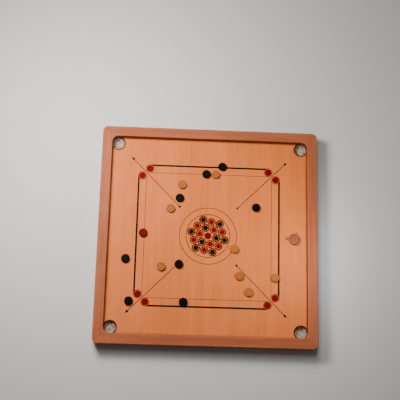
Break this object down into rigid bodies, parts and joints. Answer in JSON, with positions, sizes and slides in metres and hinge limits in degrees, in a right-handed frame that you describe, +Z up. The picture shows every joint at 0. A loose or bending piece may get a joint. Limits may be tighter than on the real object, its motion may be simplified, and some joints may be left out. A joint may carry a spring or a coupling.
{
  "type": "carrom board",
  "caption": "Square tabletop game board with a raised wooden frame, a netted pocket at each corner, printed marks, and loose discs that slide on a smooth plywood field.",
  "frame": {"origin": "on the supporting surface, under the middle of the board", "axes": "+Z up out of the playing surface, +Y towards the back rail, +X towards the right rail; the board is square"},
  "size_m": [0.816, 0.816, 0.06],
  "materials": {
    "frame_wood": "satin clear lacquer over pinkish-brown hardwood",
    "field_ply": "polished semi-gloss lacquer over a fine-grained face veneer",
    "brace_pine": "bare planed softwood",
    "dowel_birch": "bare turned hardwood, glued in",
    "screw_steel": "zinc plated",
    "nail_steel": "bright, slightly dulled",
    "net_cotton": "off-white cotton net",
    "ink_black": "printed under the lacquer",
    "ink_red": "printed under the lacquer",
    "ink_brown": "printed under the lacquer",
    "man_light": "turned and polished pale wood",
    "man_black": "black stained and polished wood",
    "man_queen": "red stained and polished wood",
    "striker_resin": "polished brownish-pink resin"
  },
  "bodies": {
    "board": {"rail_front": "frame_wood", "rail_right": "frame_wood", "rail_back": "frame_wood", "rail_left": "frame_wood", "playing_surface": "field_ply", "brace_front": "brace_pine", "brace_back": "brace_pine", "brace_left": "brace_pine", "brace_right": "brace_pine", "mitre_dowels": "dowel_birch", "deck_screws": "screw_steel", "brace_nails": "nail_steel", "net_tacks": "nail_steel", "pocket_net_front_left": "net_cotton", "pocket_net_back_left": "net_cotton", "pocket_net_front_right": "net_cotton", "pocket_net_back_right": "net_cotton", "baseline_front": "ink_black", "baseline_right": "ink_black", "baseline_back": "ink_black", "baseline_left": "ink_black", "base_discs": "ink_red", "arrows": "ink_brown", "centre_ring": "ink_brown", "outer_ring": "ink_red", "centre_disc": "ink_red", "rosettes_black": "ink_black", "rosettes_red": "ink_red", "side_mark": "ink_black"},
    "light_man_1": {"light_man_1": "man_light"},
    "light_man_2": {"light_man_2": "man_light"},
    "light_man_3": {"light_man_3": "man_light"},
    "light_man_4": {"light_man_4": "man_light"},
    "light_man_5": {"light_man_5": "man_light"},
    "light_man_6": {"light_man_6": "man_light"},
    "light_man_7": {"light_man_7": "man_light"},
    "light_man_8": {"light_man_8": "man_light"},
    "black_man_1": {"black_man_1": "man_black"},
    "black_man_2": {"black_man_2": "man_black"},
    "black_man_3": {"black_man_3": "man_black"},
    "black_man_4": {"black_man_4": "man_black"},
    "black_man_5": {"black_man_5": "man_black"},
    "black_man_6": {"black_man_6": "man_black"},
    "black_man_7": {"black_man_7": "man_black"},
    "black_man_8": {"black_man_8": "man_black"},
    "queen": {"queen": "man_queen"},
    "striker": {"striker": "striker_resin"}
  },
  "joints": [
    {"name": "light_man_1_slide", "type": "slide", "parent": "board", "child": "light_man_1", "axis": [1, 0, 0], "range_m": [-0.128, 0.092]},
    {"name": "light_man_2_slide", "type": "slide", "parent": "board", "child": "light_man_2", "axis": [1, 0, 0], "range_m": [-0.075, 0.133]},
    {"name": "light_man_3_slide", "type": "slide", "parent": "board", "child": "light_man_3", "axis": [0, 1, 0], "range_m": [-0.215, 0.005]},
    {"name": "light_man_4_slide", "type": "slide", "parent": "board", "child": "light_man_4", "axis": [0, 1, 0], "range_m": [-0.037, 0.183]},
    {"name": "light_man_5_slide", "type": "slide", "parent": "board", "child": "light_man_5", "axis": [0, 1, 0], "range_m": [-0.096, 0.124]},
    {"name": "light_man_6_slide", "type": "slide", "parent": "board", "child": "light_man_6", "axis": [0, 1, 0], "range_m": [-0.183, 0.037]},
    {"name": "light_man_7_slide", "type": "slide", "parent": "board", "child": "light_man_7", "axis": [0, 1, 0], "range_m": [-0.11, 0.11]},
    {"name": "light_man_8_slide", "type": "slide", "parent": "board", "child": "light_man_8", "axis": [0, 1, 0], "range_m": [-0.11, 0.11]},
    {"name": "black_man_1_slide", "type": "slide", "parent": "board", "child": "black_man_1", "axis": [1, 0, 0], "range_m": [-0.005, 0.215]},
    {"name": "black_man_2_slide", "type": "slide", "parent": "board", "child": "black_man_2", "axis": [1, 0, 0], "range_m": [-0.218, 0.002]},
    {"name": "black_man_3_slide", "type": "slide", "parent": "board", "child": "black_man_3", "axis": [1, 0, 0], "range_m": [-0.12, 0.1]},
    {"name": "black_man_4_slide", "type": "slide", "parent": "board", "child": "black_man_4", "axis": [0, 1, 0], "range_m": [-0.11, 0.11]},
    {"name": "black_man_5_slide", "type": "slide", "parent": "board", "child": "black_man_5", "axis": [0, 1, 0], "range_m": [-0.064, 0.156]},
    {"name": "black_man_6_slide", "type": "slide", "parent": "board", "child": "black_man_6", "axis": [1, 0, 0], "range_m": [-0.032, 0.185]},
    {"name": "black_man_7_slide", "type": "slide", "parent": "board", "child": "black_man_7", "axis": [0, 1, 0], "range_m": [-0.102, 0.064]},
    {"name": "black_man_8_slide", "type": "slide", "parent": "board", "child": "black_man_8", "axis": [1, 0, 0], "range_m": [-0.11, 0.11]},
    {"name": "queen_slide", "type": "slide", "parent": "board", "child": "queen", "axis": [0, 1, 0], "range_m": [-0.145, 0.075]},
    {"name": "striker_slide", "type": "slide", "parent": "board", "child": "striker", "axis": [0, 1, 0], "range_m": [-0.3, 0.306]}
  ]
}
